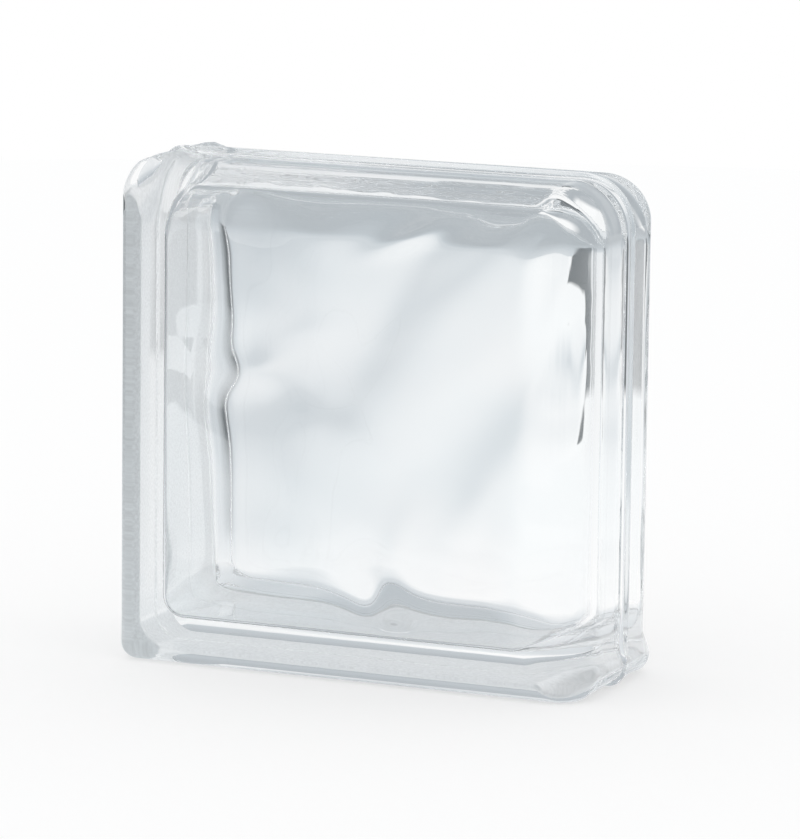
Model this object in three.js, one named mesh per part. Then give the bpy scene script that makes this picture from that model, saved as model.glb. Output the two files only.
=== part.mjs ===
// Hollow glass block with two finished sides (a double end block).
//
// Two pressed glass half-shells are fused rim to rim halfway through the depth.
// Both come from one mould: the back half is the front half turned half a turn
// about the face diagonal that joins the mortar corner to the finished corner.
//
// Millimetres, +Z up. X runs across the face, Y through the depth with the front
// face at -Y. The origin is the middle of the bottom, on the bed plane.
import * as THREE from 'three';

// Overall size, over the mortar flanges and the faces.
const FACE_SIZE = 190;
const BLOCK_DEPTH = 80;

// Glass thicknesses.
const PANE_THICKNESS = 7;
const MORTAR_WALL = 12.5;
const FINISHED_WALL = 11;

// Mortar sides (left and bottom): a flange beside each face, and a wall that
// stands back between them so that the mortar keys in.
const KEY_DEPTH = 5;
const FLANGE_THICKNESS = 10.5;
const FLANGE_SLOPE = 7.5;
const FLANGE_EDGE_RADIUS = 8;
const KEY_END_DISTANCE = 17;
const KEY_END_RUNOUT = 8;

// Finished sides (top and right): a broad round from the face into a smooth side
// that stands a little back from the ends of the mortar flanges.
const FINISHED_RADIUS = 21.5;
const FINISHED_STEP = 2.8;
const FLANGE_END_WIDTH = 14;
const FLANGE_END_RUNOUT = 8.5;

// Fused seam: a low bead all round at half depth.
const MORTAR_BEAD = 0.5;
const FINISHED_BEAD = 2.8;
const BEAD_HALF_WIDTH = 1.8;

// Corner radii of the outline, seen square on to the face.
const FINISHED_CORNER = 21;
const MIXED_CORNER = 8;
const MORTAR_CORNER = 6.5;
const KEY_CORNER = 10;
const MIN_CORNER = 1;

// Cavity: corner radii at the seam and at the pane, the fillets between the walls
// and the pane, and the draft that lets the plunger out.
const CAVITY_CORNER = 14;
const CAVITY_CORNER_PANE = 8;
const MORTAR_FILLET = 1.2;
const FINISHED_FILLET = 15;
const CAVITY_DRAFT = 1.5;

// Wave pattern pressed into the inner side of each pane. Each swell has its
// middle on the pane (from the block's centre), its direction in degrees, its
// half-length and half-width, and its height (a negative height is a hollow).
const SWELLS = [
  { x: -8, z: 6, turn: 64, length: 60, width: 19.1, height: 2.1 },
  { x: 16, z: 48, turn: 63, length: 49, width: 6.9, height: 0.5 },
  { x: -8, z: 23, turn: 14, length: 79, width: 20.5, height: 2 },
  { x: 40, z: 54, turn: 48, length: 65, width: 14.1, height: -2.1 },
  { x: 44, z: 1, turn: 39, length: 45, width: 18.2, height: 2 },
  { x: -32, z: 59, turn: 64, length: 9, width: 19.9, height: -1 },
  { x: -41, z: 17, turn: 9, length: 14, width: 7.3, height: -1.5 },
  { x: -43, z: 9, turn: 38, length: 20, width: 21, height: 2 },
  { x: -21, z: -26, turn: 44, length: 11, width: 15.8, height: -1.3 },
  { x: 13, z: -57, turn: 72, length: 22, width: 6, height: -1.1 },
  { x: 8, z: -58, turn: -61, length: 24, width: 10.4, height: 2 },
  { x: -38, z: -50, turn: 7, length: 85, width: 16.8, height: -2.1 },
  { x: -14, z: 69, turn: 27, length: 10, width: 11.1, height: -1.2 },
  { x: -45, z: 75, turn: 10, length: 12, width: 27.9, height: 2.2 },
  { x: 21, z: 71, turn: 23, length: 14, width: 4, height: -2 },
  { x: 59, z: 57, turn: 84, length: 32, width: 16.5, height: -2 },
  { x: 82, z: 35, turn: 88, length: 34, width: 7.8, height: 2 },
  { x: 65, z: 4, turn: 69, length: 24, width: 11.2, height: -1.5 },
  { x: 80, z: -60, turn: 96, length: 11, width: 5.5, height: 2 },
  { x: -69, z: 9, turn: 99, length: 78, width: 10.7, height: -0.5 },
  { x: -5, z: -56, turn: 8, length: 53, width: 5.9, height: 0.1 },
  { x: 78, z: 53, turn: 78, length: 16, width: 3.9, height: -1.4 },
  { x: 75, z: 18, turn: 100, length: 9, width: 4, height: 0.8 },
  { x: 58, z: -62, turn: 88, length: 28, width: 10.5, height: -1.1 },
];

// The pattern fades out over these distances from the cavity walls.
const MORTAR_RELIEF_MARGIN = 9;
const FINISHED_RELIEF_MARGIN = 1;

// Fineness of the facets.
const CORNER_STEPS = 4;
const FINISHED_CORNER_STEPS = 8;
const SIDE_STEPS = 10;
const RUNOUT_STEPS = 3;
const FLANGE_EDGE_STEPS = 3;
const FINISHED_EDGE_STEPS = 5;
const KEY_STEPS = 4;
const BEAD_STEPS = 2;
const MORTAR_FILLET_STEPS = 1;
const FINISHED_FILLET_STEPS = 3;
const PANE_RINGS = 12;
const LEAST_STEP = 0.5;
const LEAST_GAP = 0.1;

const GLASS_COLOUR = 0xdfe6ea;

const HALF = FACE_SIZE / 2;
const HALF_DEPTH = BLOCK_DEPTH / 2;
const FLANGE_FOOT = HALF_DEPTH - FLANGE_THICKNESS;
const PANE_INSIDE = HALF_DEPTH - PANE_THICKNESS;
const FILLET_START = PANE_INSIDE - FINISHED_FILLET;

const smooth = THREE.MathUtils.smoothstep;
const mix = THREE.MathUtils.lerp;

// ---- Profiles: how far the glass stands in from the outline, against distance
// from the seam plane. Each is drawn as a path of (distance, inset) points.

function roundedEdge(radius, steps) {
  const path = new THREE.Path();
  path.moveTo(0, 0);
  path.lineTo(HALF_DEPTH - radius, 0);
  path.absarc(HALF_DEPTH - radius, radius, radius, -Math.PI / 2, 0, false);
  return path.getPoints(steps);
}

function keyedWall() {
  const path = new THREE.Path();
  path.moveTo(0, 1);
  path.lineTo(FLANGE_FOOT - FLANGE_SLOPE, 1);
  path.bezierCurveTo(
    FLANGE_FOOT - FLANGE_SLOPE / 2, 1,
    FLANGE_FOOT - FLANGE_SLOPE / 2, 0,
    FLANGE_FOOT, 0,
  );
  path.lineTo(HALF_DEPTH, 0);
  return path.getPoints(KEY_STEPS);
}

function seamBead() {
  const path = new THREE.Path();
  path.moveTo(0, 1);
  path.quadraticCurveTo(BEAD_HALF_WIDTH / 2, 1, BEAD_HALF_WIDTH, 0);
  path.lineTo(HALF_DEPTH, 0);
  return path.getPoints(BEAD_STEPS);
}

function filletedCavity(fillet, steps) {
  const path = new THREE.Path();
  path.moveTo(0, 0);
  path.lineTo(PANE_INSIDE - fillet, 0);
  path.absarc(PANE_INSIDE - fillet, fillet, fillet, -Math.PI / 2, 0, false);
  return path.getPoints(steps);
}

const MORTAR_EDGE = roundedEdge(FLANGE_EDGE_RADIUS, FLANGE_EDGE_STEPS);
const FINISHED_EDGE = roundedEdge(FINISHED_RADIUS, FINISHED_EDGE_STEPS);
const KEY = keyedWall();
const BEAD = seamBead();
const MORTAR_CAVITY = filletedCavity(MORTAR_FILLET, MORTAR_FILLET_STEPS);
const FINISHED_CAVITY = filletedCavity(FINISHED_FILLET, FINISHED_FILLET_STEPS);

function insetAt(profile, distance) {
  for (let i = 1; i < profile.length; i += 1) {
    const [from, to] = [profile[i - 1], profile[i]];
    if (distance <= to.x) {
      return mix(from.y, to.y, (distance - from.x) / Math.max(to.x - from.x, 1e-9));
    }
  }
  return profile[profile.length - 1].y;
}

// ---- Outer skin: inset of each kind of side, at a distance from the seam plane
// and at a distance along the side from its mixed corner (mortar side meeting
// finished side). A flush strip runs through the depth at each mixed corner.

function mortarInset(distance, along) {
  const keyed = smooth(along, KEY_END_DISTANCE, KEY_END_DISTANCE + KEY_END_RUNOUT);
  const key = KEY_DEPTH * insetAt(KEY, distance) - MORTAR_BEAD * insetAt(BEAD, distance);
  return insetAt(MORTAR_EDGE, distance) + key * keyed;
}

function finishedInset(distance, along) {
  const past = smooth(along, FLANGE_END_WIDTH, FLANGE_END_WIDTH + FLANGE_END_RUNOUT);
  const step = FINISHED_STEP - FINISHED_BEAD * insetAt(BEAD, distance);
  return insetAt(FINISHED_EDGE, distance) + step * past;
}

// ---- Points that every section has where the flanges and the key run out.

const spread = (start, runout) => (
  Array.from({ length: RUNOUT_STEPS + 1 }, (_, i) => start + (runout * i) / RUNOUT_STEPS)
);
const MARKS = {
  mortar: spread(KEY_END_DISTANCE, KEY_END_RUNOUT),
  finished: spread(FLANGE_END_WIDTH, FLANGE_END_RUNOUT),
};

// ---- One closed section at a distance from the seam plane: four sides and four
// rounded corners, always with the same number of points, counter-clockwise from
// the foot of the right side as seen from the front.
//
// `mortar` and `finished` give a side's inset at a distance along it from its mixed
// corner, and MARKS the distances where a side needs a point of its own.

function section({ mortar, finished, corners }) {
  const { mortarCorner, mixedCorner, finishedCorner } = corners;
  const points = [];

  const corner = (x, z, radius, startDegrees, steps) => {
    for (let i = 0; i <= steps; i += 1) {
      const angle = THREE.MathUtils.degToRad(startDegrees + (90 * i) / steps);
      points.push(new THREE.Vector2(x + radius * Math.cos(angle), z + radius * Math.sin(angle)));
    }
  };
  // Distances from the mixed corner: the marks, moved along where that corner's round
  // reaches them, then even steps to the far corner.
  const alongSide = (ownMarks, cornerEnd, end) => {
    const move = Math.max(cornerEnd + LEAST_STEP - ownMarks[0], 0);
    const clear = ownMarks.map((mark) => mark + move);
    const start = clear[clear.length - 1];
    const rest = Array.from(
      { length: SIDE_STEPS - 1 },
      (_, i) => mix(start, end, (i + 1) / SIDE_STEPS),
    );
    return [...clear, ...rest];
  };

  const mixedMortar = HALF - mortar(0) - mixedCorner;
  const mixedFinished = HALF - finished(0) - mixedCorner;
  const finishedMiddle = HALF - finished(FACE_SIZE) - finishedCorner;
  const mortarMiddle = HALF - mortar(FACE_SIZE) - mortarCorner;
  const finishedAlong = alongSide(
    MARKS.finished,
    HALF - mixedMortar,
    HALF + finishedMiddle,
  );
  const mortarAlong = alongSide(
    MARKS.mortar,
    HALF - mixedFinished,
    HALF + mortarMiddle,
  );

  finishedAlong.forEach((d) => points.push(new THREE.Vector2(HALF - finished(d), d - HALF)));
  corner(finishedMiddle, finishedMiddle, finishedCorner, 0, FINISHED_CORNER_STEPS);
  finishedAlong.toReversed()
    .forEach((d) => points.push(new THREE.Vector2(d - HALF, HALF - finished(d))));
  corner(-mixedMortar, mixedFinished, mixedCorner, 90, CORNER_STEPS);
  mortarAlong.forEach((d) => points.push(new THREE.Vector2(mortar(d) - HALF, HALF - d)));
  corner(-mortarMiddle, -mortarMiddle, mortarCorner, 180, CORNER_STEPS);
  mortarAlong.toReversed()
    .forEach((d) => points.push(new THREE.Vector2(HALF - d, mortar(d) - HALF)));
  corner(mixedFinished, -mixedMortar, mixedCorner, 270, CORNER_STEPS);
  return points;
}

function outerSection(distance) {
  const finished = (along) => finishedInset(distance, along);
  const edge = insetAt(MORTAR_EDGE, distance);
  return section({
    mortar: (along) => mortarInset(distance, along),
    finished,
    corners: {
      mortarCorner: Math.max(MORTAR_CORNER - edge, MIN_CORNER)
        + (KEY_CORNER - MORTAR_CORNER) * insetAt(KEY, distance),
      mixedCorner: Math.max(MIXED_CORNER - edge, MIN_CORNER),
      finishedCorner: Math.max(FINISHED_CORNER - finished(FACE_SIZE), MIN_CORNER),
    },
  });
}

// How far the cavity's walls stand in from the outline.
function cavityInsets(distance) {
  const draft = CAVITY_DRAFT * (distance / PANE_INSIDE - 1);
  return {
    mortar: KEY_DEPTH + MORTAR_WALL + draft + insetAt(MORTAR_CAVITY, distance),
    finished: FINISHED_STEP + FINISHED_WALL + draft + insetAt(FINISHED_CAVITY, distance),
  };
}

// The corners of the cavity tighten late, as the wall comes up to the pane.
function cavitySection(distance) {
  const { mortar, finished } = cavityInsets(distance);
  const corner = mix(CAVITY_CORNER, CAVITY_CORNER_PANE, (distance / PANE_INSIDE) ** 3);
  return section({
    mortar: () => mortar,
    finished: () => finished,
    corners: { mortarCorner: corner, mixedCorner: corner, finishedCorner: corner },
  });
}

// ---- Wave pattern: height of the relief on the inner side of a pane.

function reliefHeight(x, z) {
  let height = 0;
  for (const swell of SWELLS) {
    const angle = THREE.MathUtils.degToRad(swell.turn);
    const along = (x - swell.x) * Math.cos(angle) + (z - swell.z) * Math.sin(angle);
    const across = (z - swell.z) * Math.cos(angle) - (x - swell.x) * Math.sin(angle);
    const reach = (along / swell.length) ** 2 + (across / swell.width) ** 2;
    height += swell.height * Math.exp(-reach);
  }
  const walls = cavityInsets(FILLET_START);
  const fromMortarWall = Math.min(x, z) + HALF - walls.mortar;
  const fromFinishedWall = HALF - walls.finished - Math.max(x, z);
  return height * smooth(fromMortarWall, 0, MORTAR_RELIEF_MARGIN)
    * smooth(fromFinishedWall, 0, FINISHED_RELIEF_MARGIN);
}

// ---- Half-shell: rings of points, from the flat face round the outer skin to the
// rim, up the cavity wall and across the patterned inner side of the pane.

// Distances from the seam that the profiles need, the farthest first, with none
// closer together than LEAST_GAP.
function stations(...profiles) {
  const wanted = profiles.flat().map((point) => point.x).sort((a, b) => b - a);
  const kept = [wanted[0]];
  for (const distance of wanted) {
    if (kept[kept.length - 1] - distance >= LEAST_GAP) kept.push(distance);
  }
  return kept;
}

function halfShellGeometry() {
  const rings = [];
  const addRing = (outline, depthAt) => {
    rings.push(outline.map((p) => new THREE.Vector3(p.x, -depthAt(p), p.y + HALF)));
  };

  const outerStations = stations(MORTAR_EDGE, FINISHED_EDGE, KEY, BEAD);
  outerStations.forEach((distance) => addRing(outerSection(distance), () => distance));
  stations(MORTAR_CAVITY, FINISHED_CAVITY).reverse().forEach((distance) => {
    const share = Math.max(1 - (PANE_INSIDE - distance) / FINISHED_FILLET, 0);
    addRing(cavitySection(distance), (p) => distance - share * reliefHeight(p.x, p.y));
  });

  const paneOutline = cavitySection(PANE_INSIDE);
  const { mortar, finished } = cavityInsets(PANE_INSIDE);
  const paneMiddle = (mortar - finished) / 2;
  const centre = new THREE.Vector2(paneMiddle, paneMiddle);
  for (let ring = 1; ring < PANE_RINGS; ring += 1) {
    const outline = paneOutline.map((p) => p.clone().lerp(centre, ring / PANE_RINGS));
    addRing(outline, (p) => PANE_INSIDE - reliefHeight(p.x, p.y));
  }

  const count = rings[0].length;
  const vertices = rings.flat();
  const triangles = [];
  for (let ring = 0; ring < rings.length - 1; ring += 1) {
    for (let i = 0; i < count; i += 1) {
      const a = ring * count + i;
      const b = ring * count + ((i + 1) % count);
      triangles.push([a, a + count, b], [b, a + count, b + count]);
    }
  }

  // Each end of the skin closes with a fan round a point in its middle.
  const faceMiddle = new THREE.Vector3(0, -HALF_DEPTH, HALF);
  const paneDepth = PANE_INSIDE - reliefHeight(centre.x, centre.y);
  const paneMiddlePoint = new THREE.Vector3(centre.x, -paneDepth, HALF + centre.y);
  const last = (rings.length - 1) * count;
  const faceIndex = vertices.push(faceMiddle) - 1;
  const paneIndex = vertices.push(paneMiddlePoint) - 1;
  for (let i = 0; i < count; i += 1) {
    const next = (i + 1) % count;
    triangles.push([i, next, faceIndex], [last + i, paneIndex, last + next]);
  }

  const geometry = new THREE.BufferGeometry().setFromPoints(vertices);
  geometry.setIndex(triangles.flat());
  geometry.computeVertexNormals();
  return geometry;
}

// ---- The block.

function glass() {
  return new THREE.MeshStandardMaterial({
    color: GLASS_COLOUR,
    roughness: 0.02,
    metalness: 0,
    transparent: true,
    opacity: 0.35,
  });
}

function frontHalf() {
  const mesh = new THREE.Mesh(halfShellGeometry(), glass());
  mesh.name = 'front_half';
  return mesh;
}

function backHalf() {
  const mesh = new THREE.Mesh(halfShellGeometry(), glass());
  mesh.name = 'back_half';
  const block = new THREE.Group();
  block.position.set(0, 0, HALF);
  block.quaternion.setFromAxisAngle(new THREE.Vector3(1, 0, 1).normalize(), Math.PI);
  mesh.position.set(0, 0, -HALF);
  block.add(mesh);
  return block;
}

const glassBlock = new THREE.Group();
glassBlock.add(frontHalf(), backHalf());

export default glassBlock;
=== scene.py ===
import math

import bmesh
import bpy
from mathutils import Matrix, Vector

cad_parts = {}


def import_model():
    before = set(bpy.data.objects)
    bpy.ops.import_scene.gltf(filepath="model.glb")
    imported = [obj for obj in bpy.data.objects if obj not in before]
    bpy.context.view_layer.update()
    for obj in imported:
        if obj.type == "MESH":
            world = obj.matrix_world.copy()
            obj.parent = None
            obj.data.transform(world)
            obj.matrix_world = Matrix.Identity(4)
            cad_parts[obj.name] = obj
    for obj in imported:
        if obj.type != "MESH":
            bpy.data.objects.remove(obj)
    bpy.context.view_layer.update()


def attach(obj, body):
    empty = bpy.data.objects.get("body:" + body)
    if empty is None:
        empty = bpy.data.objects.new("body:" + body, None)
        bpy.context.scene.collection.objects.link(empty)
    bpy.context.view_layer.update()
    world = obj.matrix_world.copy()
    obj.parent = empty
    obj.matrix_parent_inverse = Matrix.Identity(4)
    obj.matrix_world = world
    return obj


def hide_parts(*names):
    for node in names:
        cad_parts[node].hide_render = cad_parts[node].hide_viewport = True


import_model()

MM = 0.001

# ---------------------------------------------------------------------------
# Driving sizes of the block, in millimetres
# ---------------------------------------------------------------------------
FACE_SIZE = 190.0
BLOCK_DEPTH = 80.0
HALF = FACE_SIZE / 2
HALF_DEPTH = BLOCK_DEPTH / 2

PANE_THICKNESS = 7.0
MORTAR_WALL = 12.5
FINISHED_WALL = 11.0

KEY_DEPTH = 5.0
FLANGE_THICKNESS = 10.5
FLANGE_SLOPE = 7.5
FLANGE_EDGE_RADIUS = 8.0
KEY_END_DISTANCE = 17.0
KEY_END_RUNOUT = 8.0

FINISHED_RADIUS = 21.5
FINISHED_STEP = 2.8
FLANGE_END_WIDTH = 9.5
FLANGE_END_RUNOUT = 5.5
# Strip through the depth at each mixed corner, between the key and the finished side
STRIP_DIP = 1.3
STRIP_BEAD = 1.0

MORTAR_BEAD = 0.5
FINISHED_BEAD = 2.8
BEAD_HALF_WIDTH = 1.8

FINISHED_CORNER = 21.0
MIXED_CORNER = 8.0
MORTAR_CORNER = 6.5
KEY_CORNER = 10.0
CAVITY_CORNER = 14.0
CAVITY_CORNER_PANE = 8.0
MIN_CORNER = 1.0
# The cavity's top and right sides change over across this much of the corner
CAVITY_CORNER_BLEND = 0.3

# Fillets between the cavity's walls and the pane: depth, width and fullness (2 is round)
MORTAR_FILLET = (2.0, 2.0, 2.0)
RIGHT_FILLET = (20.3, 18.3, 2.1)
TOP_FILLET = (8.0, 12.1, 1.7)
CAVITY_DRAFT = 1.5

FLANGE_FOOT = HALF_DEPTH - FLANGE_THICKNESS
PANE_INSIDE = HALF_DEPTH - PANE_THICKNESS

# Wave pattern: each swell has its middle on the pane, its direction in degrees,
# its half-length, half-width and height. The rows are those of the solids, and a fitting
# program made them.
SWELLS = (
    dict(x=-8, z=6, turn=64, length=60, width=19.1, height=2.1),
    dict(x=16, z=48, turn=63, length=49, width=6.9, height=0.5),
    dict(x=-8, z=23, turn=14, length=79, width=20.5, height=2),
    dict(x=40, z=54, turn=48, length=65, width=14.1, height=-2.1),
    dict(x=44, z=1, turn=39, length=45, width=18.2, height=2),
    dict(x=-32, z=59, turn=64, length=9, width=19.9, height=-1),
    dict(x=-41, z=17, turn=9, length=14, width=7.3, height=-1.5),
    dict(x=-43, z=9, turn=38, length=20, width=21, height=2),
    dict(x=-21, z=-26, turn=44, length=11, width=15.8, height=-1.3),
    dict(x=13, z=-57, turn=72, length=22, width=6, height=-1.1),
    dict(x=8, z=-58, turn=-61, length=24, width=10.4, height=2),
    dict(x=-38, z=-50, turn=7, length=85, width=16.8, height=-2.1),
    dict(x=-14, z=69, turn=27, length=10, width=11.1, height=-1.2),
    dict(x=-45, z=75, turn=10, length=12, width=27.9, height=2.2),
    dict(x=21, z=71, turn=23, length=14, width=4, height=-2),
    dict(x=59, z=57, turn=84, length=32, width=16.5, height=-2),
    dict(x=82, z=35, turn=88, length=34, width=7.8, height=2),
    dict(x=65, z=4, turn=69, length=24, width=11.2, height=-1.5),
    dict(x=80, z=-60, turn=96, length=11, width=5.5, height=2),
    dict(x=-69, z=9, turn=99, length=78, width=10.7, height=-0.5),
    dict(x=-5, z=-56, turn=8, length=53, width=5.9, height=0.1),
    dict(x=78, z=53, turn=78, length=16, width=3.9, height=-1.4),
    dict(x=75, z=18, turn=100, length=9, width=4, height=0.8),
    dict(x=58, z=-62, turn=88, length=28, width=10.5, height=-1.1),
)
MORTAR_RELIEF_MARGIN = 9.0
FINISHED_RELIEF_MARGIN = 1.0
RELIEF_START = 12.0

# Fineness of the finished surface
FINISHED_CORNER_STEPS = 30
MIXED_CORNER_STEPS = 16
MORTAR_CORNER_STEPS = 16
SIDE_STEPS = 44
ROUND_STEPS = 22
SLOPE_STEPS = 10
BEAD_STEPS = 10
WALL_STATIONS = (2.5, 6.0, 10.0)
LEAST_SPACING = 0.06
WELD_DISTANCE = 0.01
FACE_MARGIN = 1.5
PANE_STEPS = 120
CAVITY_WALL_STEPS = 6
CAVITY_FILLET_STEPS = 16

# Sprayed coat of the keyed sides: how far it reaches past the key's walls, and its shades, of
# which the greyer ones on the front flange's slope and at its foot are painted shade
COAT_REACH = 0.5
COAT_ON_WALL = (0.96, 0.985, 1.0)
COAT_PAINTED_SHADE_ON_SLOPE = (0.80, 0.84, 0.86)
COAT_PAINTED_SHADE_AT_FOOT = (0.45, 0.48, 0.50)
# Painted shade on the underside's slopes, darker towards the floor, by height in metres
COAT_PAINTED_SHADE_UNDERNEATH = ((0.0, 0.62), (0.0035, 0.68), (0.0048, 1.0))
# Share of light let through, and share of the glass covered, on the wall, on the slopes
# and at their foot
COAT_THINNESS = (0.85, 0.65, 0.65)
COAT_COVER = (0.7, 1.0, 1.0)
# Where its shade changes, in millimetres from the top and the foot of the slope
COAT_THIN_ABOVE = 1.0
COAT_THICK_BELOW = 0.5
COAT_FOOT_WIDTH = 2.0
SPECKLE_SCALE = 900
SPECKLE_DETAIL = 3
COAT_MOTTLE = ((0.3, 0.84), (0.7, 1.0))

# Faint cast of the glass, and the chill marks of the pressing, in metres
GLASS_IOR = 1.5
CAST = (0.975, 0.99, 0.995)
CAST_SCALE = 18
CAST_SPREAD = (0.35, 0.65)
CHILL_SCALE = 70
CHILL_HEIGHT = 0.00004


def smoothstep(value, low, high):
    share = min(max((value - low) / (high - low), 0.0), 1.0)
    return share * share * (3 - 2 * share)


def mix(low, high, share):
    return low + (high - low) * share


# ---------------------------------------------------------------------------
# Profiles: how far the outside stands in from the outline, by distance from the seam
# ---------------------------------------------------------------------------
def rounded_edge(distance, radius):
    past = distance - (HALF_DEPTH - radius)
    if past <= 0:
        return 0.0
    return radius - math.sqrt(max(radius * radius - past * past, 0.0))


def key_share(distance):
    """1 on the wall between the flanges, 0 on the flange."""
    return 1 - smoothstep(distance, FLANGE_FOOT - FLANGE_SLOPE, FLANGE_FOOT)


def bead_share(distance):
    """1 on the crown of the seam bead, 0 beside it."""
    share = min(distance / BEAD_HALF_WIDTH, 1.0)
    return (1 - share * share) ** 2


def strip_inset(distance):
    return STRIP_DIP * key_share(distance) - STRIP_BEAD * bead_share(distance)


def mortar_inset(distance, along):
    keyed = smoothstep(along, KEY_END_DISTANCE, KEY_END_DISTANCE + KEY_END_RUNOUT)
    key = KEY_DEPTH * key_share(distance) - MORTAR_BEAD * bead_share(distance)
    return rounded_edge(distance, FLANGE_EDGE_RADIUS) + mix(strip_inset(distance), key, keyed)


def finished_inset(distance, along):
    past = smoothstep(along, FLANGE_END_WIDTH, FLANGE_END_WIDTH + FLANGE_END_RUNOUT)
    step = FINISHED_STEP - FINISHED_BEAD * bead_share(distance)
    return rounded_edge(distance, FINISHED_RADIUS) + mix(strip_inset(distance), step, past)


# ---------------------------------------------------------------------------
# Sections: closed outlines of (x, z) points about the middle of the face
# ---------------------------------------------------------------------------
def corner_points(x, z, radius, start, steps):
    for i in range(steps + 1):
        angle = math.radians(start + 90 * i / steps)
        yield x + radius * math.cos(angle), z + radius * math.sin(angle)


def outer_section(distance):
    edge = rounded_edge(distance, FLANGE_EDGE_RADIUS)
    key_widening = (KEY_CORNER - MORTAR_CORNER) * key_share(distance)
    mortar_corner = max(MORTAR_CORNER - edge, MIN_CORNER) + key_widening
    mixed_corner = max(MIXED_CORNER - edge, MIN_CORNER)
    finished_corner = max(FINISHED_CORNER - finished_inset(distance, FACE_SIZE), MIN_CORNER)
    mixed_mortar = HALF - mortar_inset(distance, 0) - mixed_corner
    mixed_finished = HALF - finished_inset(distance, 0) - mixed_corner
    finished_middle = HALF - finished_inset(distance, FACE_SIZE) - finished_corner
    mortar_middle = HALF - mortar_inset(distance, FACE_SIZE) - mortar_corner

    def run(low, high):
        return [mix(low, high, i / SIDE_STEPS) for i in range(1, SIDE_STEPS)]

    finished_side = run(HALF - mixed_mortar, HALF + finished_middle)
    mortar_side = run(HALF - mixed_finished, HALF + mortar_middle)
    right = [(HALF - finished_inset(distance, d), d - HALF) for d in finished_side]
    left = [(mortar_inset(distance, d) - HALF, HALF - d) for d in mortar_side]
    return [
        *right,
        *corner_points(finished_middle, finished_middle, finished_corner, 0,
                       FINISHED_CORNER_STEPS),
        *((z, x) for x, z in reversed(right)),
        *corner_points(-mixed_mortar, mixed_finished, mixed_corner, 90, MIXED_CORNER_STEPS),
        *left,
        *corner_points(-mortar_middle, -mortar_middle, mortar_corner, 180,
                       MORTAR_CORNER_STEPS),
        *((z, x) for x, z in reversed(left)),
        *corner_points(mixed_finished, -mixed_mortar, mixed_corner, 270, MIXED_CORNER_STEPS),
    ]


def outer_stations():
    """Distances from the seam, from the face to the bead."""
    turned = [math.radians(90 * i / ROUND_STEPS) for i in range(ROUND_STEPS + 1)]
    first = HALF_DEPTH - FINISHED_RADIUS
    round_stations = {first + FINISHED_RADIUS * math.cos(a) for a in turned}
    flange_first = HALF_DEPTH - FLANGE_EDGE_RADIUS
    flange_stations = {flange_first + FLANGE_EDGE_RADIUS * math.cos(a) for a in turned[::2]}
    slope_stations = {FLANGE_FOOT - FLANGE_SLOPE * i / SLOPE_STEPS
                      for i in range(SLOPE_STEPS + 1)}
    bead_stations = {BEAD_HALF_WIDTH * i / BEAD_STEPS for i in range(BEAD_STEPS + 1)}
    wanted = round_stations | flange_stations | slope_stations | bead_stations
    wanted |= {BEAD_HALF_WIDTH + past for past in WALL_STATIONS}
    return spaced(sorted(wanted, reverse=True))


def spaced(stations):
    """Drops stations that lie too close together."""
    kept = [stations[0]]
    for station in stations[1:]:
        if kept[-1] - station >= LEAST_SPACING:
            kept.append(station)
    if kept[-1] != stations[-1]:
        kept[-1] = stations[-1]
    return kept


# ---------------------------------------------------------------------------
# Cavity
# ---------------------------------------------------------------------------
def cavity_inset(distance, fillet):
    """How far a cavity wall has come in: its draft, then its fillet into the pane."""
    depth, width, power = fillet
    draft = CAVITY_DRAFT * (distance / PANE_INSIDE - 1)
    past = (distance - (PANE_INSIDE - depth)) / depth
    if past <= 0:
        return draft
    return draft + width * (1 - max(1 - past ** power, 0.0) ** (1 / power))


def cavity_limits(distance):
    """Where the mortar walls, the right wall and the top wall stand."""
    mortar = -HALF + KEY_DEPTH + MORTAR_WALL + cavity_inset(distance, MORTAR_FILLET)
    finished = HALF - FINISHED_STEP - FINISHED_WALL
    return (mortar, finished - cavity_inset(distance, RIGHT_FILLET),
            finished - cavity_inset(distance, TOP_FILLET))


def cavity_point(u, w, distance):
    """Section point for the point (u, w) of a square that reaches from -1 to 1."""
    mortar, right, top = cavity_limits(distance)
    middle_x, reach_x = (mortar + right) / 2, (right - mortar) / 2
    middle_z, reach_z = (mortar + top) / 2, (top - mortar) / 2
    size = max(abs(u), abs(w))
    if size == 0:
        return middle_x, middle_z
    radius = mix(CAVITY_CORNER, CAVITY_CORNER_PANE, (distance / PANE_INSIDE) ** 3)
    sideways = abs(u) >= abs(w)
    outward, across = (reach_x, reach_z) if sideways else (reach_z, reach_x)
    straight = across - radius
    across *= min(abs(u), abs(w)) / size
    if across > straight:
        angle = math.radians(45) * (across - straight) / radius
        across = straight + radius * math.sin(angle)
        outward -= radius * (1 - math.cos(angle))
    x, z = (outward, across) if sideways else (across, outward)
    return middle_x + math.copysign(x * size, u), middle_z + math.copysign(z * size, w)


def relief_height(x, z):
    height = 0.0
    for swell in SWELLS:
        angle = math.radians(swell["turn"])
        dx, dz = x - swell["x"], z - swell["z"]
        along = dx * math.cos(angle) + dz * math.sin(angle)
        across = dz * math.cos(angle) - dx * math.sin(angle)
        reach = (along / swell["length"]) ** 2 + (across / swell["width"]) ** 2
        height += swell["height"] * math.exp(-reach)
    low, right, top = cavity_limits(PANE_INSIDE - RELIEF_START)
    mortar = smoothstep(min(x, z) - low, 0, MORTAR_RELIEF_MARGIN)
    finished = smoothstep(min(right - x, top - z), 0, FINISHED_RELIEF_MARGIN)
    return height * mortar * finished


def relief_share(u, w, distance):
    """How much of the pattern's height the fillets carry, from none at their start."""
    def share(fillet):
        return max(1 - (PANE_INSIDE - distance) / fillet[0], 0.0)
    to_right = smoothstep(u - w, -CAVITY_CORNER_BLEND, CAVITY_CORNER_BLEND)
    return mix(share(TOP_FILLET), share(RIGHT_FILLET), to_right)


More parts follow.
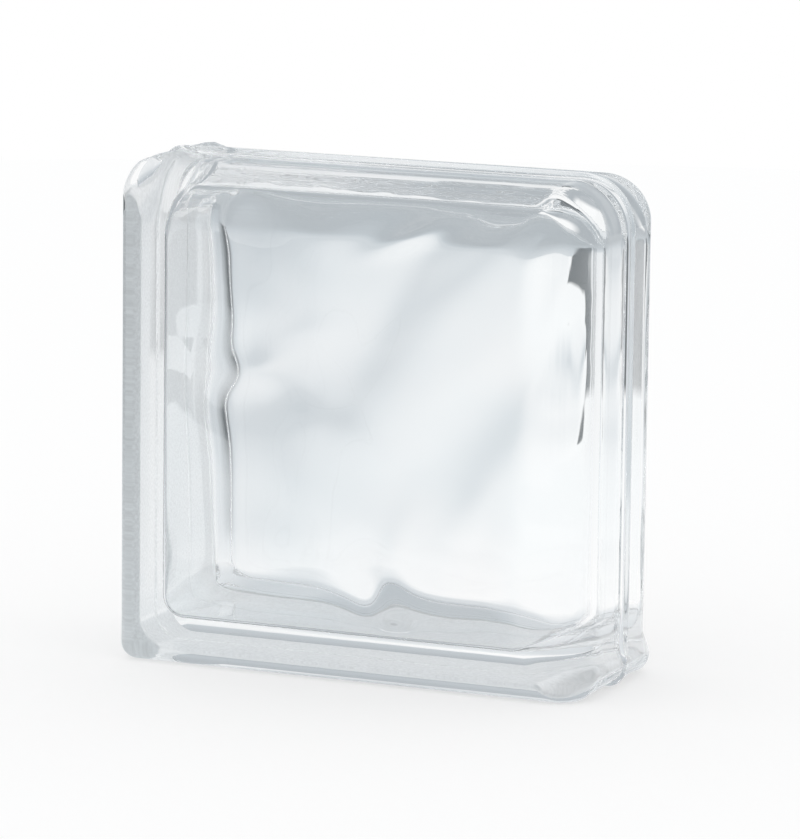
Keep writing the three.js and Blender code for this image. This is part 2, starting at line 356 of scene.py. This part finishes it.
def cavity_stations():
    """Distances from the seam, from the pane's edge back to the seam."""
    turned = [math.radians(90 * i / CAVITY_FILLET_STEPS) for i in range(CAVITY_FILLET_STEPS + 1)]
    wanted = set()
    fillets = (MORTAR_FILLET, RIGHT_FILLET, TOP_FILLET)
    for depth, _, _ in fillets:
        wanted |= {PANE_INSIDE - depth * (1 - math.cos(a)) for a in turned}
    straight = PANE_INSIDE - max(depth for depth, _, _ in fillets)
    wanted |= {straight * (1 - i / CAVITY_WALL_STEPS) for i in range(1, CAVITY_WALL_STEPS + 1)}
    return spaced(sorted(wanted, reverse=True))


# ---------------------------------------------------------------------------
# Modelling helpers
# ---------------------------------------------------------------------------
def edit(piece):
    bpy.ops.object.select_all(action="DESELECT")
    bpy.context.view_layer.objects.active = piece
    piece.select_set(True)
    bpy.ops.object.mode_set(mode="EDIT")
    bpy.ops.mesh.select_mode(type="VERT")


def place_selected(piece, placed):
    """Moves each selected vertex to placed(its guide), in millimetres."""
    shape = bmesh.from_edit_mesh(piece.data)
    guide = shape.verts.layers.float_vector["guide"]
    for vert in shape.verts:
        if vert.select:
            vert.co = Vector(placed(vert[guide])) * MM + Vector((0, 0, HALF * MM))
    bmesh.update_edit_mesh(piece.data)


def keep_guide(piece, guide_of):
    """Gives each vertex a guide, which the rings extruded from it inherit."""
    shape = bmesh.from_edit_mesh(piece.data)
    guide = shape.verts.layers.float_vector.new("guide")
    shape.verts.ensure_lookup_table()
    for vert in shape.verts:
        vert[guide] = guide_of(vert)
    bmesh.update_edit_mesh(piece.data)


def extrude_rim(piece, placed):
    bpy.ops.mesh.extrude_edges_move()
    place_selected(piece, placed)


# ---------------------------------------------------------------------------
# Outer skin of one pressed half, from the middle of its face to the seam
# ---------------------------------------------------------------------------
def outer_skin():
    stations = outer_stations()
    face = outer_section(stations[0])
    bpy.ops.object.select_all(action="DESELECT")
    bpy.ops.mesh.primitive_circle_add(vertices=len(face), radius=HALF * MM, fill_type="NGON")
    skin = bpy.context.object
    edit(skin)
    keep_guide(skin, lambda vert: (vert.index, 0, 0))

    def ring(points, y):
        return lambda guide: (points[round(guide[0])][0], y, points[round(guide[0])][1])

    def drawn_in(point):
        margin = FACE_MARGIN / math.hypot(*point)
        return point[0] * (1 - margin), point[1] * (1 - margin)

    bpy.ops.mesh.select_all(action="SELECT")
    place_selected(skin, ring([drawn_in(point) for point in face], -HALF_DEPTH))
    bpy.ops.mesh.select_mode(type="EDGE")
    bpy.ops.mesh.select_all(action="SELECT")
    for distance in stations:
        extrude_rim(skin, ring(outer_section(distance), -distance))
    bpy.ops.object.mode_set(mode="OBJECT")
    return skin


# ---------------------------------------------------------------------------
# Cavity skin of one pressed half, from the waved pane to the seam
# ---------------------------------------------------------------------------
def cavity_skin():
    bpy.ops.object.select_all(action="DESELECT")
    bpy.ops.mesh.primitive_grid_add(x_subdivisions=PANE_STEPS, y_subdivisions=PANE_STEPS, size=2)
    skin = bpy.context.object
    edit(skin)
    keep_guide(skin, lambda vert: (vert.co.x, vert.co.y, 0))

    def pane(guide):
        x, z = cavity_point(guide[0], guide[1], PANE_INSIDE)
        return x, relief_height(x, z) - PANE_INSIDE, z

    def ring(distance):
        def placed(guide):
            x, z = cavity_point(guide[0], guide[1], distance)
            share = relief_share(guide[0], guide[1], distance)
            return x, relief_height(x, z) * share - distance, z
        return placed

    bpy.ops.mesh.select_all(action="SELECT")
    place_selected(skin, pane)
    bpy.ops.mesh.select_all(action="DESELECT")
    bpy.ops.mesh.select_mode(type="EDGE")
    bpy.ops.mesh.select_non_manifold(extend=False, use_wire=False, use_boundary=True,
                                     use_multi_face=False, use_non_contiguous=False,
                                     use_verts=False)
    for distance in cavity_stations()[1:]:
        extrude_rim(skin, ring(distance))
    bpy.ops.object.mode_set(mode="OBJECT")
    return skin


def facing(skin, inward):
    edit(skin)
    bpy.ops.mesh.select_all(action="SELECT")
    shape = bmesh.from_edit_mesh(skin.data)
    shape.faces.ensure_lookup_table()
    centre_normal = min(shape.faces, key=lambda f: (f.calc_center_median() - Vector(
        (0, -HALF_DEPTH * MM, HALF * MM))).length).normal
    if (centre_normal.y > 0) != inward:
        bpy.ops.mesh.flip_normals()
    bpy.ops.object.mode_set(mode="OBJECT")


def turned_copy(half):
    """The same pressing turned half a turn about the diagonal of the face."""
    copy = half.copy()
    copy.data = half.data.copy()
    bpy.context.collection.objects.link(copy)
    middle = Matrix.Translation((0, 0, HALF * MM))
    turn = Matrix.Rotation(math.pi, 4, Vector((1, 0, 1)).normalized())
    copy.data.transform(middle @ turn @ middle.inverted())
    return copy


def joined(first, *others):
    bpy.ops.object.select_all(action="DESELECT")
    for piece in (first, *others):
        piece.select_set(True)
    bpy.context.view_layer.objects.active = first
    bpy.ops.object.join()
    return first


def glass_block():
    outside, cavity = outer_skin(), cavity_skin()
    facing(outside, inward=False)
    facing(cavity, inward=True)
    half = joined(outside, cavity)
    block = joined(half, turned_copy(half))
    edit(block)
    bpy.ops.mesh.select_all(action="SELECT")
    bpy.ops.mesh.remove_doubles(threshold=WELD_DISTANCE * MM)
    bpy.ops.object.mode_set(mode="OBJECT")
    block.data.attributes.remove(block.data.attributes["guide"])
    bpy.ops.object.shade_smooth()
    block.name = block.data.name = "glass_block"
    return block


# ---------------------------------------------------------------------------
# Materials
# ---------------------------------------------------------------------------
def new_material(name):
    material = bpy.data.materials.new(name)
    material.use_nodes = True
    return material, material.node_tree.nodes, material.node_tree.links


def ramp(nodes, stops):
    node = nodes.new("ShaderNodeValToRGB")
    elements = node.color_ramp.elements
    while len(elements) < len(stops):
        elements.new(0.5)
    for element, (place, value) in zip(elements, stops):
        element.position = place
        element.color = (*(value if isinstance(value, tuple) else (value,) * 3), 1)
    return node


def stops_by(nodes, links, value, stops):
    """A value through stops that are given in its own measure."""
    low, high = stops[0][0], stops[-1][0]
    share = nodes.new("ShaderNodeMapRange")
    share.inputs["From Min"].default_value = low
    share.inputs["From Max"].default_value = high
    links.new(value, share.inputs["Value"])
    node = ramp(nodes, [((place - low) / (high - low), shade) for place, shade in stops])
    links.new(share.outputs["Result"], node.inputs["Fac"])
    return node.outputs["Color"]


def worked_out(nodes, links, operation, *values):
    """The result of one sum on linked values."""
    node = nodes.new("ShaderNodeMath")
    node.operation = operation
    for socket, value in zip(node.inputs, values):
        links.new(value, socket)
    return node.outputs[0]


def mixed(nodes, links, share, value, colour):
    """A linked value that goes over into one colour by a share."""
    node = nodes.new("ShaderNodeMix")
    node.data_type = "RGBA"
    node.inputs["B"].default_value = (*colour, 1)
    links.new(share, node.inputs["Factor"])
    links.new(value, node.inputs["A"])
    return node.outputs["Result"]


def multiplied(nodes, links, first, second):
    """Two linked colours, multiplied."""
    node = nodes.new("ShaderNodeMix")
    node.data_type = "RGBA"
    node.blend_type = "MULTIPLY"
    node.inputs["Factor"].default_value = 1
    links.new(first, node.inputs["A"])
    links.new(second, node.inputs["B"])
    return node.outputs["Result"]


def azimuth_ramps(nodes, links, split):
    """Gives a function that shades by azimuth, in degrees clockwise from the far side."""
    turn = worked_out(nodes, links, "ARCTAN2", split.outputs["X"], split.outputs["Y"])
    degrees = worked_out(nodes, links, "DEGREES", turn)
    return lambda stops: stops_by(nodes, links, degrees, stops)


def cool(shade):
    """The studio's greys are cool and its whites are neutral."""
    coolness = min(max((1 - shade) / COOL_BELOW_WHITE, 0.0), 1.0)
    return shade * (1 - LESS_RED * coolness), shade, shade * (1 + MORE_BLUE * coolness)


def cooled(nodes, links, shade):
    return stops_by(nodes, links, shade, [(level, cool(level)) for level in GREY_LEVELS])


def pressed_glass(nodes, links):
    """Clear glass with the faint cast and the soft unevenness of a pressing."""
    shader = nodes["Principled BSDF"]
    shader.inputs["Roughness"].default_value = 0
    shader.inputs["IOR"].default_value = GLASS_IOR
    shader.inputs["Transmission Weight"].default_value = 1
    place = nodes.new("ShaderNodeTexCoord")
    cast = nodes.new("ShaderNodeTexNoise")
    cast.inputs["Scale"].default_value = CAST_SCALE
    links.new(place.outputs["Object"], cast.inputs["Vector"])
    tint = ramp(nodes, [(CAST_SPREAD[0], CAST), (CAST_SPREAD[1], (1.0, 1.0, 1.0))])
    links.new(cast.outputs[0], tint.inputs["Fac"])
    links.new(tint.outputs["Color"], shader.inputs["Base Color"])
    chill = nodes.new("ShaderNodeTexNoise")
    chill.inputs["Scale"].default_value = CHILL_SCALE
    chill.inputs["Detail"].default_value = 1
    links.new(place.outputs["Object"], chill.inputs["Vector"])
    bump = nodes.new("ShaderNodeBump")
    bump.inputs["Strength"].default_value = 1
    bump.inputs["Distance"].default_value = CHILL_HEIGHT
    links.new(chill.outputs[0], bump.inputs["Height"])
    links.new(bump.outputs["Normal"], shader.inputs["Normal"])
    return shader


def clear_glass():
    material, nodes, links = new_material("clear_glass")
    pressed_glass(nodes, links)
    return material


def bond_coat():
    """Sprayed coat of the keyed sides. On the wall it is pale and leaves some glass bare, and on
    the front flange's slope it covers all and is greyer with painted shade, darkest at the slope's
    foot. Low down, near the floor, it is darkened by painted shade."""
    material, nodes, links = new_material("bond_coat")
    glass = pressed_glass(nodes, links)
    place = nodes.new("ShaderNodeTexCoord")
    split = nodes.new("ShaderNodeSeparateXYZ")
    links.new(place.outputs["Object"], split.inputs[0])
    depth = nodes.new("ShaderNodeMath")
    depth.operation = "MULTIPLY"
    depth.inputs[1].default_value = -1
    links.new(split.outputs["Y"], depth.inputs[0])
    slope_start = FLANGE_FOOT - FLANGE_SLOPE

    def by_slope(wall, on_slope, at_foot):
        stops = (((slope_start - COAT_THIN_ABOVE) * MM, wall),
                 ((slope_start + COAT_THICK_BELOW) * MM, on_slope),
                 ((FLANGE_FOOT - COAT_FOOT_WIDTH) * MM, on_slope),
                 (FLANGE_FOOT * MM, at_foot))
        return stops_by(nodes, links, depth.outputs[0], stops)

    speckle = nodes.new("ShaderNodeTexNoise")
    speckle.inputs["Scale"].default_value = SPECKLE_SCALE
    speckle.inputs["Detail"].default_value = SPECKLE_DETAIL
    links.new(place.outputs["Object"], speckle.inputs["Vector"])
    mottle = ramp(nodes, COAT_MOTTLE)
    links.new(speckle.outputs[0], mottle.inputs["Fac"])
    # The coat's colour: pale on the wall, with painted shade on the front slope, darkest at its
    # foot
    shade = by_slope(COAT_ON_WALL, COAT_PAINTED_SHADE_ON_SLOPE, COAT_PAINTED_SHADE_AT_FOOT)
    # Painted shade near the floor, darker the lower
    painted_floor_shade = stops_by(nodes, links, split.outputs["Z"], COAT_PAINTED_SHADE_UNDERNEATH)
    shade = multiplied(nodes, links, shade, painted_floor_shade)
    colour = multiplied(nodes, links, shade, mottle.outputs["Color"])
    body = nodes.new("ShaderNodeBsdfDiffuse")
    thin = nodes.new("ShaderNodeBsdfTranslucent")
    coat = nodes.new("ShaderNodeMixShader")
    for shader in (body, thin):
        links.new(colour, shader.inputs["Color"])
    links.new(by_slope(*COAT_THINNESS), coat.inputs[0])
    links.new(body.outputs[0], coat.inputs[1])
    links.new(thin.outputs[0], coat.inputs[2])
    covered = nodes.new("ShaderNodeMixShader")
    links.new(by_slope(*COAT_COVER), covered.inputs[0])
    links.new(glass.outputs[0], covered.inputs[1])
    links.new(coat.outputs[0], covered.inputs[2])
    links.new(covered.outputs[0], nodes["Material Output"].inputs["Surface"])
    return material


# ---------------------------------------------------------------------------
# Studio
# ---------------------------------------------------------------------------
# The camera, in degrees, millimetres and pixels
CAMERA_AZIMUTH = 23.534
CAMERA_ELEVATION = 9.817
CAMERA_ROLL = 0.706
CAMERA_DISTANCE = 2094.0
CAMERA_AIM = (2.58, -2.38)
FOCAL_PIXELS = 5653.4
FRAME_HEIGHT = 839
SENSOR = 36.0
VIEW_REACH = 100.0
LIGHT_BOUNCES = 40

WHITE = (1.0, 1.0, 1.0)
DARK = (0.127, 0.141, 0.150)
# How cool a grey is
COOL_BELOW_WHITE = 0.4
LESS_RED = 0.07
MORE_BLUE = 0.055
GREY_LEVELS = (0.0, 0.4, 0.6, 0.8, 1.0, 1.3)
# The room as glass shows it. Its two dark sides: share by azimuth, in degrees clockwise
# from the far side,
ROOM_LEFT = ((-180, 0), (-94, 0), (-88, 1), (-66, 1), (-50, 0), (180, 0))
ROOM_RIGHT = ((-180, 0), (0, 0), (3, 1), (18, 1), (24, 0), (180, 0))
# and by elevation
ROOM_TOP = ((-90, 1), (2, 1), (6, 0), (90, 0))
# Light elsewhere, by elevation
CEILING = ((-90, 1.0), (-10, 0.8), (-4, 0.66), (2, 0.58), (10, 0.52), (20, 0.47), (90, 0.5))
# Soft lamp high on the right of the far side
LAMP = ((-180, 0), (8, 0), (14, 1), (60, 1), (66, 0), (180, 0))
LAMP_HEIGHT = ((-90, 0), (26, 0), (30, 1), (52, 1), (56, 0), (90, 0))
# The floor as the camera sees it
FLOOR_RADIUS = 1.5
FLOOR_POINTS = 96
FLOOR_COLOUR = (0.45, 0.45, 0.45)
FLOOR_ROUGHNESS = 0.9
FLOOR_SEEN_LIFT = 0.57
# The table as glass shows it: its edges, its painted light from left to right and the block's
# painted shadow on it by distance from the block's middle, all in metres
TABLE_EDGE_RIGHT = ((0.66, 0), (0.70, 1))
TABLE_EDGE_LEFT = ((0.3, 0), (0.85, 1))
TABLE_PAINTED_LIGHT_FALLOFF = ((-1.2, 0.6), (-0.45, 0.7), (0.0, 1.0), (0.15, 1.0), (1.2, 0.75))
TABLE_PAINTED_BLOCK_SHADOW = ((0.045, 0.55), (0.06, 0.72), (0.08, 0.72), (0.13, 1.0))


def camera():
    azimuth, elevation = math.radians(CAMERA_AZIMUTH), math.radians(CAMERA_ELEVATION)
    roll = math.radians(CAMERA_ROLL)
    back = Vector((math.sin(azimuth) * math.cos(elevation),
                   -math.cos(azimuth) * math.cos(elevation), math.sin(elevation)))
    right = Vector((math.cos(azimuth), math.sin(azimuth), 0))
    up = back.cross(right)
    rolled_right = math.cos(roll) * right + math.sin(roll) * up
    rolled_up = math.cos(roll) * up - math.sin(roll) * right
    aim = Vector((0, 0, HALF)) + CAMERA_AIM[0] * rolled_right + CAMERA_AIM[1] * rolled_up
    place = (aim + CAMERA_DISTANCE * back) * MM
    data = bpy.data.cameras.new("camera")
    data.sensor_width = SENSOR
    data.lens = FOCAL_PIXELS * SENSOR / FRAME_HEIGHT
    data.clip_end = VIEW_REACH
    view = bpy.data.objects.new("camera", data)
    axes = Matrix((rolled_right, rolled_up, back)).transposed().to_4x4()
    view.matrix_world = Matrix.Translation(place) @ axes
    bpy.context.collection.objects.link(view)
    bpy.context.scene.camera = view


def pale_floor():
    """The camera sees a white floor with the block's shadow, and matt surfaces are lit by plain
    white. Glass sees a table with painted light that falls off to the left and a painted shadow of
    the block, and the two dark sides of the room beyond its edges."""
    material, nodes, links = new_material("pale_floor")
    shader = nodes["Principled BSDF"]
    shader.inputs["Base Color"].default_value = (*FLOOR_COLOUR, 1)
    shader.inputs["Roughness"].default_value = FLOOR_ROUGHNESS
    shader.inputs["Specular IOR Level"].default_value = 0
    place = nodes.new("ShaderNodeTexCoord")
    split = nodes.new("ShaderNodeSeparateXYZ")
    links.new(place.outputs["Object"], split.inputs[0])
    length = nodes.new("ShaderNodeVectorMath")
    length.operation = "LENGTH"
    links.new(place.outputs["Object"], length.inputs[0])
    distance = length.outputs["Value"]
    by_azimuth = azimuth_ramps(nodes, links, split)
    sides = [worked_out(nodes, links, "MULTIPLY", by_azimuth(room),
                        stops_by(nodes, links, distance, edge))
             for room, edge in ((ROOM_LEFT, TABLE_EDGE_LEFT), (ROOM_RIGHT, TABLE_EDGE_RIGHT))]
    beyond = worked_out(nodes, links, "ADD", *sides)
    # Painted light falling off across the table, times a painted shadow of the block
    shade = worked_out(nodes, links, "MULTIPLY",
                       stops_by(nodes, links, split.outputs["X"], TABLE_PAINTED_LIGHT_FALLOFF),
                       stops_by(nodes, links, distance, TABLE_PAINTED_BLOCK_SHADOW))
    table = mixed(nodes, links, beyond, cooled(nodes, links, shade), DARK)
    path = nodes.new("ShaderNodeLightPath")
    reflected = nodes.new("ShaderNodeEmission")
    links.new(mixed(nodes, links, path.outputs["Is Diffuse Ray"], table, WHITE),
              reflected.inputs["Color"])
    glow = nodes.new("ShaderNodeEmission")
    glow.inputs["Color"].default_value = (*WHITE, 1)
    glow.inputs["Strength"].default_value = FLOOR_SEEN_LIFT
    both = nodes.new("ShaderNodeAddShader")
    links.new(shader.outputs[0], both.inputs[0])
    links.new(glow.outputs[0], both.inputs[1])
    seen = nodes.new("ShaderNodeMixShader")
    links.new(path.outputs["Is Camera Ray"], seen.inputs[0])
    links.new(reflected.outputs[0], seen.inputs[1])
    links.new(both.outputs[0], seen.inputs[2])
    links.new(seen.outputs[0], nodes["Material Output"].inputs["Surface"])
    return material


def floor():
    bpy.ops.object.select_all(action="DESELECT")
    bpy.ops.mesh.primitive_circle_add(vertices=FLOOR_POINTS, radius=FLOOR_RADIUS, fill_type="NGON")
    disc = bpy.context.object
    disc.name = "floor"
    disc.data.materials.append(pale_floor())


def world():
    """White to the camera and to matt surfaces, and to glass a room with a grey ceiling, two
    dark sides and one soft lamp."""
    scene_world = bpy.data.worlds.new("studio")
    bpy.context.scene.world = scene_world
    scene_world.use_nodes = True
    nodes, links = scene_world.node_tree.nodes, scene_world.node_tree.links
    background = nodes["Background"]
    direction = nodes.new("ShaderNodeTexCoord")
    split = nodes.new("ShaderNodeSeparateXYZ")
    links.new(direction.outputs["Generated"], split.inputs[0])
    rise = worked_out(nodes, links, "ARCSINE", split.outputs["Z"])
    elevation = worked_out(nodes, links, "DEGREES", rise)
    by_azimuth = azimuth_ramps(nodes, links, split)

    def by_elevation(stops):
        return stops_by(nodes, links, elevation, stops)

    sides = worked_out(nodes, links, "ADD", by_azimuth(ROOM_LEFT), by_azimuth(ROOM_RIGHT))
    room = worked_out(nodes, links, "MULTIPLY", sides, by_elevation(ROOM_TOP))
    light = mixed(nodes, links, room, cooled(nodes, links, by_elevation(CEILING)), DARK)
    lamp = worked_out(nodes, links, "MULTIPLY", by_azimuth(LAMP), by_elevation(LAMP_HEIGHT))
    path = nodes.new("ShaderNodeLightPath")
    plain = worked_out(nodes, links, "MAXIMUM", path.outputs["Is Camera Ray"],
                       path.outputs["Is Diffuse Ray"])
    lit = worked_out(nodes, links, "MAXIMUM", plain, lamp)
    links.new(mixed(nodes, links, lit, light, WHITE), background.inputs["Color"])


def render_settings():
    scene = bpy.context.scene
    scene.view_settings.view_transform = "Standard"
    scene.cycles.max_bounces = LIGHT_BOUNCES
    scene.cycles.transmission_bounces = LIGHT_BOUNCES
    scene.cycles.glossy_bounces = LIGHT_BOUNCES
    scene.cycles.transparent_max_bounces = LIGHT_BOUNCES


def on_mortar_wall(face):
    """Faces of the outer skin between the flanges on the two keyed sides."""
    x, y, z = face.center / MM
    z -= HALF
    side, other = min(x, z), max(x, z)
    wall = -HALF + KEY_DEPTH
    outside = side < wall + COAT_REACH or other < wall + KEY_CORNER
    return outside and abs(y) < FLANGE_FOOT and other < HALF - KEY_END_DISTANCE


block = glass_block()
block.data.materials.clear()
block.data.materials.append(clear_glass())
block.data.materials.append(bond_coat())
for face in block.data.polygons:
    face.material_index = 1 if on_mortar_wall(face) else 0
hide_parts("front_half", "back_half")
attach(block, "root")
floor()
world()
camera()
render_settings()
